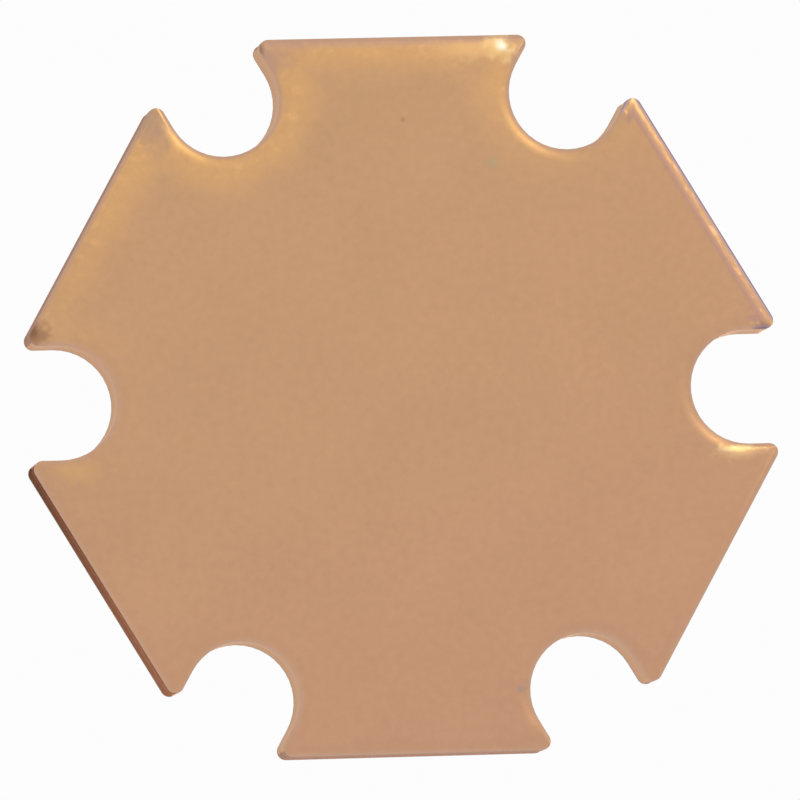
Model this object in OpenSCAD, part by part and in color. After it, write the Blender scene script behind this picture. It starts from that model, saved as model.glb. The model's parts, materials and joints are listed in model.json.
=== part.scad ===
// Star board power LED: a copper-core hexagon with six screw notches and a domed emitter on its front.
// Millimetres. The bare copper back lies on z = 0 and the light leaves along +Z.

/* [Board] */
// Width of the hexagon across its flats
across_flats = 20; // [19:0.1:22]
// Diameter of the circle on which the screw notches lie
notch_circle = 19.3; // [18.4:0.1:19.8]
// Width of a screw notch, for an M3 screw
notch_w = 3.2; // [2.4:0.1:3.6]
// Radius of the rounded tips beside a notch
tip_r = 0.25; // [0.1:0.05:0.45]
// Thickness of the copper under the dielectric
core_t = 1.5; // [1:0.1:3]
// Width of the rolled rim on the back
roll_w = 0.4; // [0.2:0.05:0.9]
// Depth of the rolled rim on the back
roll_d = 0.1; // [0.04:0.02:0.3]

/* [Circuit] */
// Thickness of the dielectric
dielectric_t = 0.1; // [0.06:0.02:0.2]
// Thickness of the copper foil
foil_t = 0.07; // [0.035:0.005:0.14]
// Thickness of the solder mask
mask_t = 0.03; // [0.02:0.01:0.05]
// How far the mask stays back from the edge of the board
mask_back = 0.25; // [0.1:0.05:0.6]
// Width of a track
track_w = 2.6; // [2:0.1:3.4]
// Distance of a wire pad from the centre
pad_reach = 7.3; // [6.4:0.1:7.8]
// Width of the bare copper of a wire pad
pad_w = 1.8; // [1.2:0.1:1.9]
// Length of the straight part of a wire pad
pad_run = 0.7; // [0.3:0.1:1.2]
// Thickness of the solder coat on a wire pad
tin_t = 0.05; // [0.04:0.01:0.12]

/* [Emitter] */
// Side of the square ceramic
ceramic_w = 5; // [4.6:0.1:5.6]
// Thickness of the ceramic
ceramic_t = 0.6; // [0.4:0.05:1]
// Width of the outer contacts under the ceramic
contact_w = 0.6; // [0.45:0.05:0.8]
// Gap between two contacts
contact_gap = 0.35; // [0.2:0.05:0.5]
// Margin from the contacts to the edge of the ceramic
contact_edge = 0.15; // [0.1:0.05:0.3]
// Thickness of the contacts
contact_t = 0.04; // [0.03:0.01:0.08]
// Thickness of the solder joints
joint_t = 0.06; // [0.04:0.01:0.12]
// Diameter of a via through the ceramic
via_d = 0.2; // [0.12:0.02:0.3]
// Thickness of the plating on top of the ceramic
land_t = 0.03; // [0.02:0.01:0.06]

/* [Chip and lens] */
// Side of the square chip
die_w = 2; // [1.4:0.1:2.3]
// Thickness of the chip
die_t = 0.15; // [0.1:0.01:0.3]
// Thickness of the solder film under the chip
attach_t = 0.03; // [0.02:0.01:0.06]
// Thickness of the phosphor plate
phosphor_t = 0.1; // [0.06:0.01:0.2]
// Side of the chip corner left bare for a bond wire
bond_corner = 0.36; // [0.3:0.02:0.5]
// Side of the square protection diode
diode_w = 0.34; // [0.26:0.02:0.44]
// Height of the protection diode
diode_t = 0.12; // [0.08:0.01:0.2]
// Diameter of a bond wire
wire_d = 0.05; // [0.03:0.01:0.07]
// Margin from the dome to the edge of the ceramic
dome_rim = 0.2; // [0.1:0.05:0.4]
// Thickness of the square skirt of the lens
skirt_t = 0.15; // [0.1:0.01:0.3]

/* [Hidden] */
$fn = 96;

// Clearances and margins between pieces
window_play = 0.05;
mask_play = 0.08;
tin_play = 0.05;
land_margin = 0.2;
land_gap = 0.2;
via_margin = 0.1;
bond_d = 0.12;
bond_t = 0.03;

// Heights of the layers
z_foil = core_t + dielectric_t;
z_joint = z_foil + foil_t;
z_contact = z_joint + joint_t;
z_ceramic = z_contact + contact_t;
z_land = z_ceramic + ceramic_t;
z_attach = z_land + land_t;
z_die = z_attach + attach_t;
z_phosphor = z_die + die_t;

// Radius of the arc that rolls the back rim
roll_r = (roll_w * roll_w + roll_d * roll_d) / (2 * roll_d);

// Contacts, from the edge of the ceramic inwards
contact_l = ceramic_w - 2 * contact_edge;
contact_x = ceramic_w / 2 - contact_edge - contact_w / 2;
thermal_w = 2 * (contact_x - contact_w / 2 - contact_gap);

// Plated areas on the ceramic
land_half = die_w / 2 + land_margin;
land_end = contact_x + via_d / 2 + via_margin;
bond_start = land_half + land_gap;
bond_x = (bond_start + land_end) / 2;
corner_x = die_w / 2 - bond_corner / 2;

dome_r = ceramic_w / 2 - dome_rim;

// One child at each of the six corners of the hexagon
module at_corners() {
    for (i = [0 : 5]) rotate(60 * i) children();
}

// One child as it is and once mirrored across the X axis
module both_y() {
    children();
    mirror([0, 1, 0]) children();
}

// What is cut from the point between a notch wall and a flat to round it
module tip_cut(inset) {
    wall = notch_w / 2 + inset;
    side = across_flats / 2 - inset;
    c = [(side - tip_r - (wall + tip_r) * sin(30)) / cos(30), wall + tip_r];
    far = [(side + tip_r - (wall - tip_r) * sin(30)) / cos(30), wall - tip_r];
    difference() {
        polygon([c, c - [0, 2 * tip_r], far, c + 2 * tip_r * [cos(30), sin(30)]]);
        translate(c) circle(tip_r);
    }
}

// Outline of the board, drawn in by an inset
module star(inset) {
    slot_r = notch_w / 2 + inset;
    difference() {
        circle((across_flats / 2 - inset) / cos(30), $fn = 6);
        at_corners() {
            translate([notch_circle / 2, 0]) circle(slot_r);
            translate([notch_circle / 2, -slot_r]) square([across_flats / 2, 2 * slot_r]);
            both_y() tip_cut(inset);
        }
    }
}

// Section of the metal lost where the punch rolls an edge; the edge is at x = 0 and metal lies at x > 0
module roll_section() {
    difference() {
        translate([-roll_d, -roll_d]) square([roll_w + roll_d, 3 * roll_d]);
        translate([roll_w, roll_r]) circle(roll_r);
    }
}

module flat_roll() {
    rotate(30) translate([across_flats / 2, 0, 0]) rotate([90, 0, 180])
        linear_extrude(across_flats, center = true) roll_section();
}

module notch_roll() {
    translate([notch_circle / 2, 0, 0]) {
        rotate_extrude() translate([notch_w / 2, 0]) roll_section();
        both_y() translate([0, notch_w / 2, 0]) rotate([90, 0, 90])
            linear_extrude(across_flats / 2) roll_section();
    }
}

// A bar with round ends from p to q
module bar(p, q, w) {
    translate(p) {
        circle(w / 2);
        rotate(atan2(q[1] - p[1], q[0] - p[0])) translate([0, -w / 2]) square([norm(q - p), w]);
    }
    translate(q) circle(w / 2);
}

// Where the tracks leave the emitter, on the +X side
track_x = contact_x - contact_w / 2 + track_w / 2;
track_y = contact_l / 2 - track_w / 2;

// Foil of the +X side, widened by a margin
module track(margin) {
    w = track_w + 2 * margin;
    translate([track_x - w / 2, -contact_l / 2 - margin]) square([w / 2, contact_l + 2 * margin]);
    translate([track_x - margin, -track_y]) square([track_w / 3 + 2 * margin, 2 * track_y]);
    both_y() bar([track_x, track_y], pad_reach * [cos(30), sin(30)], w);
}

// Bare area of one wire pad, drawn in by a margin
module wire_pad(margin) {
    rotate(30) bar([pad_reach - pad_run, 0], [pad_reach, 0], pad_w - 2 * margin);
}

// The four wire pads
module wire_pads(margin) {
    for (turn = [0, 180]) rotate(turn) both_y() wire_pad(margin);
}

// Areas of the contacts under the ceramic, widened by a margin
module outer_pad(margin) {
    translate([contact_x, 0]) square([contact_w + 2 * margin, contact_l + 2 * margin], center = true);
}

module inner_pad(margin) {
    square([thermal_w + 2 * margin, contact_l + 2 * margin], center = true);
}

module via_places() {
    both_y() {
        translate([contact_x, contact_l / 8]) circle(d = via_d);
        translate([contact_x, 3 * contact_l / 8]) circle(d = via_d);
    }
}

module layer(z, t) {
    translate([0, 0, z]) linear_extrude(t) children();
}

// A bond at the end of a wire
module bond(p) {
    translate(p) cylinder(d = bond_d, h = bond_t);
}

// A wire that arches from p to q in a plane along X, with a bond at each end
module bond_wire(p, q) {
    lift = [0, 0, bond_t / 2];
    d = q - p;
    translate((p + q) / 2 + lift) rotate([90, -atan2(d[2], d[0]), 0])
        rotate_extrude(angle = 180) translate([norm(d) / 2, 0]) circle(d = wire_d);
    bond(p);
    bond(q);
}

module copper_base() color([0.77, 0.5, 0.34]) {
    difference() {
        linear_extrude(core_t) star(0);
        at_corners() {
            flat_roll();
            notch_roll();
        }
    }
    layer(core_t, dielectric_t + foil_t) inner_pad(0);
}

module dielectric_layer() color([0.75, 0.72, 0.6]) layer(core_t, dielectric_t) difference() {
    star(0);
    inner_pad(window_play);
}

module anode_track() color([0.8, 0.52, 0.34]) layer(z_foil, foil_t) rotate(180) track(0);

module cathode_track() color([0.8, 0.52, 0.34]) layer(z_foil, foil_t) track(0);

module solder_mask() color([0.94, 0.94, 0.92]) difference() {
    union() {
        layer(z_foil, mask_t) star(mask_back);
        for (turn = [0, 180]) rotate(turn) layer(z_foil, foil_t + mask_t) track(mask_t);
    }
    anode_track();
    cathode_track();
    layer(z_foil - mask_t, foil_t + 3 * mask_t) {
        wire_pads(0);
        inner_pad(mask_play);
        for (turn = [0, 180]) rotate(turn) outer_pad(mask_play);
    }
}

module pad_tinning() color([0.8, 0.81, 0.82]) layer(z_joint, tin_t) wire_pads(tin_play);

module anode_solder() color([0.75, 0.76, 0.77]) layer(z_joint, joint_t) rotate(180) outer_pad(0);

module thermal_solder() color([0.75, 0.76, 0.77]) layer(z_joint, joint_t) inner_pad(0);

module cathode_solder() color([0.75, 0.76, 0.77]) layer(z_joint, joint_t) outer_pad(0);

module anode_contact() color([0.9, 0.75, 0.4]) layer(z_contact, contact_t) rotate(180) outer_pad(0);

module thermal_contact() color([0.9, 0.75, 0.4]) layer(z_contact, contact_t) inner_pad(0);

module cathode_contact() color([0.9, 0.75, 0.4]) layer(z_contact, contact_t) outer_pad(0);

module ceramic_substrate() color([0.93, 0.93, 0.9]) layer(z_ceramic, ceramic_t) difference() {
    square(ceramic_w, center = true);
    for (turn = [0, 180]) rotate(turn) via_places();
}

module anode_vias() color([0.8, 0.52, 0.34]) layer(z_ceramic, ceramic_t) rotate(180) via_places();

module cathode_vias() color([0.8, 0.52, 0.34]) layer(z_ceramic, ceramic_t) via_places();

module die_land() color([0.9, 0.75, 0.4]) layer(z_land, land_t) {
    square(2 * land_half, center = true);
    translate([die_w / 2, -contact_l / 2]) square([land_end - die_w / 2, contact_l]);
}

module bond_land() color([0.9, 0.75, 0.4]) layer(z_land, land_t)
    translate([-land_end, -contact_l / 2]) square([land_end - bond_start, contact_l]);

module die_attach() color([0.7, 0.7, 0.72]) layer(z_attach, attach_t) square(die_w, center = true);

module led_die() color([0.35, 0.38, 0.45]) layer(z_die, die_t) square(die_w, center = true);

module phosphor_plate() color([0.93, 0.83, 0.3]) layer(z_phosphor, phosphor_t) difference() {
    square(die_w, center = true);
    both_y() translate([-die_w / 2 - bond_corner, die_w / 2 - bond_corner])
        square([2 * bond_corner, 2 * bond_corner]);
}

module esd_diode() color([0.2, 0.2, 0.22]) layer(z_attach, diode_t)
    translate([-bond_x, 0]) square(diode_w, center = true);

module bond_wires() color([0.92, 0.78, 0.4]) {
    both_y() bond_wire([-bond_x, corner_x, z_attach], [-corner_x, corner_x, z_phosphor]);
    bond_wire([-bond_x, 0, z_attach + diode_t], [-land_half + land_margin / 2, 0, z_attach]);
}

module dome_lens() color([0.95, 0.95, 0.9, 0.5]) difference() {
    union() {
        layer(z_land, skirt_t) square(ceramic_w, center = true);
        translate([0, 0, z_land + skirt_t]) intersection() {
            sphere(dome_r);
            translate([-dome_r, -dome_r, 0] * 2) cube(4 * dome_r);
        }
    }
    die_land();
    bond_land();
    die_attach();
    led_die();
    phosphor_plate();
    esd_diode();
    bond_wires();
}

copper_base();
dielectric_layer();
anode_track();
cathode_track();
solder_mask();
pad_tinning();
anode_solder();
thermal_solder();
cathode_solder();
anode_contact();
thermal_contact();
cathode_contact();
ceramic_substrate();
anode_vias();
cathode_vias();
die_land();
bond_land();
die_attach();
led_die();
phosphor_plate();
esd_diode();
bond_wires();
dome_lens();
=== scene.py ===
import json
import math

import bmesh
import bpy
from bpy.props import FloatProperty, FloatVectorProperty, IntProperty, PointerProperty
from mathutils import Matrix, Vector, noise


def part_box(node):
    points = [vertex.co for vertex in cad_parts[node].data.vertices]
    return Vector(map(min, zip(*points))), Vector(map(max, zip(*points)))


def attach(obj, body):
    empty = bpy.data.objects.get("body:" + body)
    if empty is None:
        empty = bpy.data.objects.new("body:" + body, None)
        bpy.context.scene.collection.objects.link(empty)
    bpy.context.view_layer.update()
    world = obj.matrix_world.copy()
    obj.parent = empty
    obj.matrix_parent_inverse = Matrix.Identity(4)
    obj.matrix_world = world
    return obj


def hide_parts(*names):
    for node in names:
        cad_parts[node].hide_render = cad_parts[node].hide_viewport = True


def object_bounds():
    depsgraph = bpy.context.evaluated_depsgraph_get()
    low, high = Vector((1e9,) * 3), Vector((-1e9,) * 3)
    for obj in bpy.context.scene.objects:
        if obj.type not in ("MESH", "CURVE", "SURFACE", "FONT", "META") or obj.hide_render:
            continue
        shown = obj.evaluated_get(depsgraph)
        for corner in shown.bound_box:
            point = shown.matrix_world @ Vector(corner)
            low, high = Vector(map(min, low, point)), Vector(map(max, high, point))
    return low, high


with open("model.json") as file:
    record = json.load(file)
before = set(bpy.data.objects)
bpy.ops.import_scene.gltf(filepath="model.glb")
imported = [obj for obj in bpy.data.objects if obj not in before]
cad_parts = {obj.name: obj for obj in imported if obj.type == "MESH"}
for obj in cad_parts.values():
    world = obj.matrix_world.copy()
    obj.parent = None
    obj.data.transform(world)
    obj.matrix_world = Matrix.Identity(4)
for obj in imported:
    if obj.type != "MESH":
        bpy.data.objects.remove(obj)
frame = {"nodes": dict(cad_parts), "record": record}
CAD_LOW, CAD_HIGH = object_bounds()

bl_info = {
    "name": "Star board power LED",
    "version": (1, 0, 0),
    "blender": (4, 5, 0),
    "location": "View3D > Sidebar > Star LED",
    "description": "Dresses the copper star board and its domed emitter, and sets the studio",
    "category": "Object",
}

MM = 0.001
# Points closer together than this are one point
MERGE = 1e-6
# Points this close to a plane lie in it
IN_PLANE = MERGE * 10
# Width of the camera's sensor in mm, from which its focal length follows
SENSOR_WIDTH = 36.0

# Turn from one side of the star, or one notch, to the next, in degrees
SIDE_TURN = 60
# Bearings of sides and ends of the board, in degrees from +X towards +Y
# The wall of this side is darker: partly tarnish, partly painted shade
TARNISHED_SHADED_SIDE = 150
# The rim of this side carries painted glints, painted shade and a painted reflection
GLINTING_SIDE = -30
# The painted mauve reflection is widest on this side
WIDE_MAUVE_SIDE = -90
# The painted glow inside the rim is strongest towards this end
LIT_END = -109
# The back face is painted darker towards this end, as painted shade
SHADED_END = 70
# How far the wall of the tarnished side has gone, and how much painted shade darkens it, from 0 to 1
TARNISH_AND_SHADE = 0.4
# Places of the wall finishes among the plate's materials
SIDE_WALL = 1
TARNISHED_SHADED_WALL = 2
NOTCH_WALL = 3

# Tones of the rim, among them a painted glow and painted glint flecks: where each begins and where it is
# full, in mm from the outline
GLOW_ZONE = (1.5, 0.35)
GLINT_FLECK_ZONE = (0.75, 0.35)
LILAC_ZONE = (0.12, 0.05)
BORDER_ZONE = (0.06, 0.025)
# Bands along the glinting rim, a line of painted shade and a band of painted glints: where each rises and
# where it falls, in mm from the outline
MAUVE_LINE = ((0.19, 0.25), (0.33, 0.44))
GLINT_BAND = ((0.05, 0.1), (0.18, 0.26))
# Handling marks and painted highlights on the back face: middle in mm, reach in mm, strength and colour
HANDLING_MARKS_AND_HIGHLIGHTS = (
    ((0.2, -7.66), (0.12, 0.12), 0.5, (0.30, 0.20, 0.13)),
    ((2.93, 8.3), (0.19, 0.19), 0.5, (0.30, 0.26, 0.25)),
    ((2.7, -6.4), (0.21, 0.21), 0.5, (0.42, 0.37, 0.24)),
    ((-10.34, -1.95), (0.55, 0.6), 0.95, (0.25, 0.12, 0.07)),
    ((-3.26, -9.54), (1.0, 0.65), 0.6, (0.50, 0.30, 0.215)),
    ((-3.76, -9.74), (0.25, 0.35), 0.8, (0.27, 0.14, 0.09)),
    ((-6.8, -7.7), (0.95, 1.1), 0.6, (0.40, 0.27, 0.21)),
    ((10.1, -1.6), (0.5, 0.25), 0.6, (0.20, 0.13, 0.15)),
    # Painted highlights: a golden glow at the left notch's lower tip, a glow and a bright hot spot near the
    # tip at the right end of the top edge, and a glint at the right notch
    ((-9.2, 1.95), (0.95, 0.5), 0.45, (0.70, 0.42, 0.17)),
    ((2.2, -9.6), (1.7, 0.42), 0.55, (0.93, 0.56, 0.26)),
    ((2.98, -9.64), (0.6, 0.46), 0.85, (0.97, 0.66, 0.30)),
    ((3.08, -9.67), (0.26, 0.22), 1.0, (1.0, 0.97, 0.80)),
    ((9.3, 1.85), (1.0, 0.26), 0.45, (0.92, 0.60, 0.30)),
    ((9.35, 1.73), (0.75, 0.15), 0.9, (0.97, 0.78, 0.38)),
)

# Polarity marks: bearing in degrees from +X towards +Y, and number of bars
MARKS = ((52, 1), (-52, 1), (128, 2), (-128, 2))
MARK_REACH = 7.0 * MM

PLATE_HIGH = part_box("copper_base")[1]
BOARD_LOW, BOARD_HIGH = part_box("dielectric_layer")
CERAMIC_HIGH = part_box("ceramic_substrate")[1]
DOME_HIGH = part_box("dome_lens")[1]
NOTCH = next(m for m in frame["record"]["mounts"] if m["name"] == "screw_notch_1")


# Sizes and colours that a user may change


def length(name, description, default, least=0.0):
    """A length in metres."""
    return FloatProperty(name=name, description=description, default=default, min=least, unit="LENGTH")


def angle(name, description, degrees):
    """An angle, with its default in degrees."""
    return FloatProperty(
        name=name, description=description, default=math.radians(degrees), subtype="ANGLE"
    )


def colour(name, description, default):
    """A colour."""
    return FloatVectorProperty(
        name=name, description=description, default=default, size=3, min=0.0, max=1.0, subtype="COLOR"
    )


class StarLedSizes(bpy.types.PropertyGroup):
    """Sizes of the dressed pieces"""

    notch_reach: length("Notch reach", "From the board's middle to a notch's", NOTCH["pos_m"][0], 1.0 * MM)
    notch_radius: length("Notch radius", "Half a notch's width", NOTCH["dims"]["r_mm"] * MM, 0.1 * MM)
    roll_depth: length("Rim roll depth", "How far the punched rim rolls up from the back face", 0.1 * MM)
    wall_step: length("Wall step", "Spacing of the cuts that carry the torn wall", 0.12 * MM, 0.05 * MM)
    tear_depth: length("Tear depth", "How far the torn part of the punched wall sinks in", 0.03 * MM)
    solder_crown: length("Solder crown", "Height of the solder pillow above a wire pad", 0.2 * MM)
    mark_length: length("Mark length", "Length of a bar of a polarity mark", 1.1 * MM, 0.2 * MM)
    mark_width: length("Mark width", "Width of a bar of a polarity mark", 0.24 * MM, 0.05 * MM)
    mark_height: length("Mark height", "Thickness of the printed ink", 0.015 * MM, 0.002 * MM)
    mask_round: length("Mask rounding", "Rounding of the mask where it steps over the foil", 0.028 * MM)
    ceramic_round: length("Ceramic rounding", "Rounding of the outer edges of the ceramic", 0.05 * MM)
    dome_segments: IntProperty(
        name="Dome segments", description="Steps round the dome, a multiple of four", default=96, min=16
    )
    dome_radius: length("Dome radius", "Radius of the clear dome", 2.3 * MM, 0.5 * MM)
    skirt_height: length("Skirt height", "Thickness of the film round the dome", 0.15 * MM, 0.01 * MM)


class StarLedColours(bpy.types.PropertyGroup):
    """Colours of the finishes"""

    copper_face: colour("Copper face", "Bare rolled copper of the back face", (0.572, 0.336, 0.183))
    # Painted shade: the back face turns darker towards its far end, standing in for light falling off
    # across it
    copper_far_shade: colour("Copper far end", "Tone of the back face at its far end", (0.563, 0.311, 0.190))
    # Painted highlight: a golden glow inside the rim on the side the light comes from
    rim_glow_gold: colour("Rim gold", "Yellowed zone inside the rim", (0.68, 0.383, 0.172))
    # Painted reflection: a mauve tone on the rolled rim, standing in for the cool surroundings it mirrors
    rim_mauve_reflection: colour("Rim mauve", "Thin film of tarnish on the rolled rim", (0.56, 0.335, 0.222))
    # Along the glinting side: a mauve line of painted shade that narrows the glint, a lilac tone on the
    # outer roll, and a dark border that is a painted reflection
    mauve_shade_line: colour("Stain mauve", "Line where the stained side starts to roll", (0.50, 0.285, 0.215))
    outer_roll_lilac: colour("Stain lilac", "Film on the outer roll of the stained side", (0.55, 0.38, 0.39))
    dark_border_reflection: colour("Stain border", "Dark border of the stained side", (0.30, 0.20, 0.25))
    # Painted glints: bright flecks in the painted glow
    glint_fleck_gold: colour("Fleck gold", "Burnished flecks in the yellowed zone", (0.86, 0.50, 0.19))
    notch_copper: colour("Notch wall", "Clean copper in the screw notches", (0.66, 0.38, 0.25))
    notch_grazing: colour("Notch wall, grazing", "Tint where the eye skims along it", (0.80, 0.67, 0.52))
    wall_sheared: colour("Sheared wall", "Smooth part of the punched wall", (0.66, 0.37, 0.24))
    wall_torn: colour("Torn wall", "Rough part of the punched wall", (0.62, 0.33, 0.22))
    wall_grazing: colour("Wall, grazing", "Tint where the eye skims along it", (0.42, 0.43, 0.44))
    # The tarnished wall's tones are a darker copy of the punched wall's: partly tarnish, partly painted
    # shade
    tarnish_shade_sheared: colour("Tarnish, sheared", "Smooth part of the tarnished wall", (0.49, 0.235, 0.145))
    tarnish_shade_torn: colour("Tarnish, torn", "Rough part of the tarnished wall", (0.40, 0.19, 0.12))
    tarnish_shade_grazing: colour("Tarnish, grazing", "Tint where the eye skims along it", (0.43, 0.285, 0.24))
    mask_white: colour("Solder mask", "White solder mask", (0.80, 0.80, 0.78))
    mask_dust: colour("Dust", "Specks of dust on the solder mask", (0.45, 0.42, 0.38))
    dielectric_buff: colour("Dielectric", "Filled epoxy between copper and tracks", (0.42, 0.40, 0.30))
    filler_pale: colour("Filler", "Pale grains in the filled epoxy", (0.66, 0.63, 0.52))
    solder_grey: colour("Solder", "Bright tin solder", (0.62, 0.63, 0.64))
    gold_plate: colour("Gold plate", "Plated contacts, lands and wires", (0.80, 0.56, 0.22))
    ceramic_white: colour("Ceramic", "Fired ceramic of the emitter", (0.74, 0.74, 0.70))
    ceramic_pore: colour("Ceramic pores", "Small pores in the ceramic", (0.40, 0.39, 0.35))
    chip_grey: colour("Chip", "Sides of the light-emitting chip", (0.12, 0.14, 0.19))
    phosphor_yellow: colour("Phosphor", "Phosphor layer on the chip", (0.82, 0.60, 0.06))
    diode_dark: colour("Diode", "Chip of the protection diode", (0.035, 0.036, 0.042))
    ink_grey: colour("Ink", "Printed polarity marks", (0.03, 0.03, 0.035))
    silicone_clear: colour("Silicone", "Clear silicone of the dome", (0.97, 0.97, 0.95))
    silicone_shade: colour("Silicone shade", "Tint of light that passes the dome", (0.93, 0.93, 0.91))


class StarLedStudio(bpy.types.PropertyGroup):
    """Camera and light"""

    view_distance: length("Camera distance", "From the camera to the back face", 0.4, 0.05)
    view_width: length("View width", "Width of the picture at the back face", 22.24 * MM, 1.0 * MM)
    view_tilt: angle("Camera tilt", "How far the camera leans from straight below", 9.0)
    view_bearing: angle("Camera bearing", "Side that the camera leans to, from +X towards +Y", 148.0)
    view_roll: angle("Camera roll", "Turn of the camera about its own axis", -2.02)
    view_aim: FloatVectorProperty(
        name="Camera aim",
        description="Point of the back face in the middle of the picture",
        default=(-0.154 * MM, 0.155 * MM, 0.0),
        size=3,
        subtype="TRANSLATION",
        unit="LENGTH",
    )
    backdrop: FloatProperty(
        name="Backdrop", description="Brightness of the white backdrop", default=0.98, min=0.0, max=1.0
    )
    ambient: FloatProperty(
        name="Ambient", description="Brightness of the light from all round", default=0.5, min=0.0
    )
    haze_below: colour("Haze below", "Tone that metal mirrors just below the horizon", (0.86, 0.85, 0.90))
    haze_above: colour("Haze above", "Tone that metal mirrors just above the horizon", (0.55, 0.57, 0.62))
    strip_warm: colour("Rim strip", "Light of the strip under the part", (1.0, 0.93, 0.5))
    floor_white: colour("Floor", "Colour of the pale floor", (0.95, 0.95, 0.95))


def sizes():
    """Sizes set in the panel."""
    return bpy.context.scene.star_led_sizes


def colours():
    """Colours set in the panel."""
    return bpy.context.scene.star_led_colours


def studio():
    """Camera and light values set in the panel."""
    return bpy.context.scene.star_led_studio


# Nodes


def feed(made, feeds):
    """Feeds a node's inputs, by name or place, each with a socket to link or a value to set."""
    for key, value in feeds.items():
        if isinstance(value, bpy.types.NodeSocket):
            made.id_data.links.new(value, made.inputs[key])
        else:
            made.inputs[key].default_value = value


def node(kind, feeds, **settings):
    """Adds a shader node to the tree of the sockets that feed it."""
    tree = next(value.id_data for value in feeds.values() if isinstance(value, bpy.types.NodeSocket))
    made = tree.nodes.new("ShaderNode" + kind)
    for name, value in settings.items():
        setattr(made, name, value)
    feed(made, feeds)
    return made


def source(tree, kind):
    """Adds a node that nothing feeds. Returns its outputs."""
    return tree.nodes.new("ShaderNode" + kind).outputs


def maths(operation, first, second=0.0, third=0.0, clamp=False):
    """One Math node's output."""
    feeds = {0: first, 1: second, 2: third}
    return node("Math", feeds, operation=operation, use_clamp=clamp).outputs[0]


def product(*values):
    """All values multiplied."""
    result = values[0]
    for value in values[1:]:
        result = maths("MULTIPLY", result, value)
    return result


def fade(value, low, high, smooth=True):
    """0 at low, 1 at high and beyond, with a soft step between."""
    kind = "SMOOTHSTEP" if smooth else "LINEAR"
    feeds = {"Value": value, "From Min": low, "From Max": high}
    return node("MapRange", feeds, interpolation_type=kind).outputs["Result"]


def band(value, rise, fall):
    """1 between two soft steps, 0 outside them."""
    return maths("SUBTRACT", fade(value, *rise), fade(value, *fall))


def spread(value, low, high):
    """Carries 0 to 1 onto low to high."""
    feeds = {"Value": value, "To Min": low, "To Max": high}
    return node("MapRange", feeds).outputs["Result"]


def blended(share, first, second):
    """Mixes two values."""
    return node("Mix", {0: share, 2: first, 3: second}, data_type="FLOAT").outputs[0]


def mixed(share, first, second, kind="MIX"):
    """Mixes two colours."""
    feeds = {0: share, 6: first, 7: second}
    return node("Mix", feeds, data_type="RGBA", blend_type=kind).outputs[2]


def toned(base, tint, share=1.0):
    """A colour times a tint that changes over the surface."""
    grey = node("CombineColor", {0: tint, 1: tint, 2: tint}).outputs[0]
    return mixed(share, base, grey, "MULTIPLY")


def rgba(tone):
    """A colour with full alpha."""
    return (*tone, 1.0)


def stretched(vector, scale):
    """Coordinates with a scale of their own along each axis."""
    return node("Mapping", {"Vector": vector, "Scale": scale}).outputs["Vector"]


def reach_of(vector):
    """Length of a vector."""
    return node("VectorMath", {0: vector}, operation="LENGTH").outputs["Value"]


def new_group(name, values, outputs):
    """A node group from a vector and named values to named values. Returns its tree, entry and exit."""
    tree = bpy.data.node_groups.new(name, "ShaderNodeTree")
    tree.interface.new_socket("Vector", in_out="INPUT", socket_type="NodeSocketVector")
    for socket, value in values.items():
        made = tree.interface.new_socket(socket, in_out="INPUT", socket_type="NodeSocketFloat")
        made.default_value = value
    for socket in outputs:
        tree.interface.new_socket(socket, in_out="OUTPUT", socket_type="NodeSocketFloat")
    entry = tree.nodes.new("NodeGroupInput")
    leave = tree.nodes.new("NodeGroupOutput")
    return tree, entry.outputs, leave


def mottle_group():
    """Soft patches: a tint near 1 and a height, shared by every finish."""
    if "soft_mottle" in bpy.data.node_groups:
        return bpy.data.node_groups["soft_mottle"]
    tree, entry, leave = new_group("soft_mottle", {"Scale": 1.0, "Strength": 0.1}, ("Tint", "Height"))
    feeds = {"Vector": entry["Vector"], "Scale": entry["Scale"], "Detail": 4.0, "Roughness": 0.55}
    patches = node("TexNoise", feeds).outputs["Fac"]
    centred = maths("SUBTRACT", patches, 0.5)
    scaled = product(centred, entry["Strength"])
    tint = maths("MULTIPLY_ADD", scaled, 2.0, 1.0)
    feed(leave, {"Tint": tint, "Height": patches})
    return tree


def speck_group():
    """Sparse small specks, as a mask."""
    if "specks" in bpy.data.node_groups:
        return bpy.data.node_groups["specks"]
    tree, entry, leave = new_group("specks", {"Scale": 1.0, "Size": 0.05}, ("Mask",))
    feeds = {"Vector": entry["Vector"], "Scale": entry["Scale"]}
    cells = node("TexVoronoi", feeds).outputs
    chance = node("SeparateColor", {"Color": cells["Color"]}).outputs["Red"]
    reach = product(chance, entry["Size"])
    inside = maths("SUBTRACT", reach, cells["Distance"])
    feed(leave, {"Mask": fade(inside, 0.0, 0.02)})
    return tree


def mottle(vector, scale, strength=0.1):
    """Places the soft patches. Returns their tint and height."""
    feeds = {"Vector": vector, "Scale": scale, "Strength": strength}
    return node("Group", feeds, node_tree=mottle_group()).outputs


def specks(vector, scale, size):
    """Places the specks. Returns their mask."""
    feeds = {"Vector": vector, "Scale": scale, "Size": size}
    return node("Group", feeds, node_tree=speck_group()).outputs["Mask"]


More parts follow.
